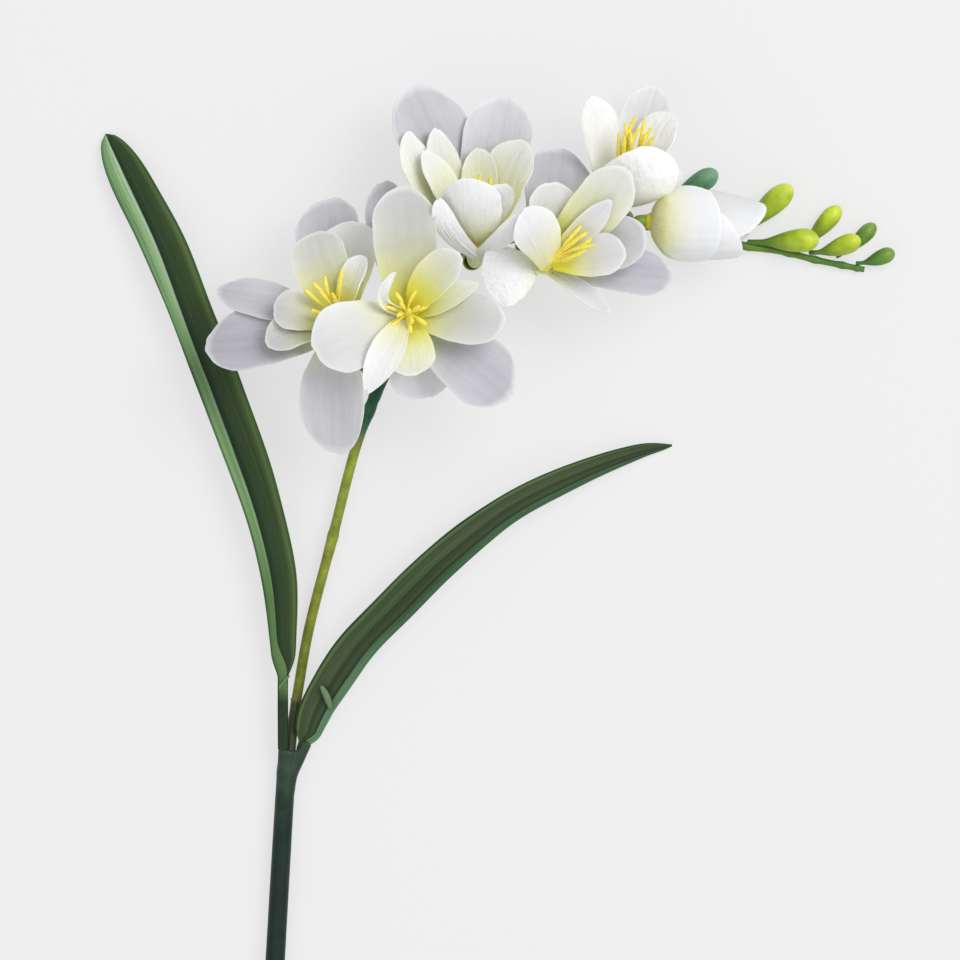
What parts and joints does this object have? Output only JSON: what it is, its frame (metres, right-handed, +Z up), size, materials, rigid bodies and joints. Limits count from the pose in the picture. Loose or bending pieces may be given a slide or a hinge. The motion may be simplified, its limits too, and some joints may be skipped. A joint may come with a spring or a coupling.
{
  "type": "freesia flower",
  "caption": "Cut stem of a double white freesia lying on a surface: arching spike of open florets and green buds, long strap leaves",
  "frame": {"origin": "Centre of the bounding box in X and Y, on the surface that the flower lies on", "axes": "+Y runs along the stem from its cut end towards the flowers, +X towards the tip of the flower spike, +Z up, which is where the open florets face"},
  "size_m": [0.2392, 0.3482, 0.0508],
  "materials": {
    "stem_green": "matte dark green",
    "stalk_green": "satin yellow-green",
    "leaf_green": "satin dark green with lengthwise veins",
    "bud_green": "satin light green",
    "outer_white": "matte, faintly lavender white",
    "inner_cream": "matte cream, yellow-green towards the throat",
    "stamen_yellow": "matte yellow"
  },
  "bodies": {
    "root": {"main_stem": "stem_green", "stalk_sleeve": "stalk_green", "flower_stalk": "stalk_green", "flower_spike": "stalk_green", "floret_a_calyx": "stalk_green", "floret_b_calyx": "stalk_green", "floret_c_calyx": "stalk_green", "floret_d_calyx": "stalk_green", "floret_e_calyx": "stalk_green", "floret_f_calyx": "stalk_green", "left_leaf": "leaf_green", "right_leaf": "leaf_green", "first_bud": "bud_green", "second_bud": "bud_green", "third_bud": "bud_green", "fourth_bud": "bud_green", "fifth_bud": "bud_green", "sixth_bud": "bud_green", "seventh_bud": "bud_green", "floret_a_outer_petals": "outer_white", "floret_b_outer_petals": "outer_white", "floret_c_outer_petals": "outer_white", "floret_d_outer_petals": "outer_white", "floret_e_outer_petals": "outer_white", "floret_f_outer_petals": "outer_white", "floret_a_inner_petals": "inner_cream", "floret_b_inner_petals": "inner_cream", "floret_c_inner_petals": "inner_cream", "floret_d_inner_petals": "inner_cream", "floret_e_inner_petals": "inner_cream", "floret_f_inner_petals": "inner_cream", "floret_a_heart_petals": "inner_cream", "floret_b_heart_petals": "inner_cream", "floret_c_heart_petals": "inner_cream", "floret_d_heart_petals": "inner_cream", "floret_a_stamens": "stamen_yellow", "floret_b_stamens": "stamen_yellow", "floret_c_stamens": "stamen_yellow", "floret_d_stamens": "stamen_yellow", "floret_e_stamens": "stamen_yellow"}
  },
  "joints": []
}
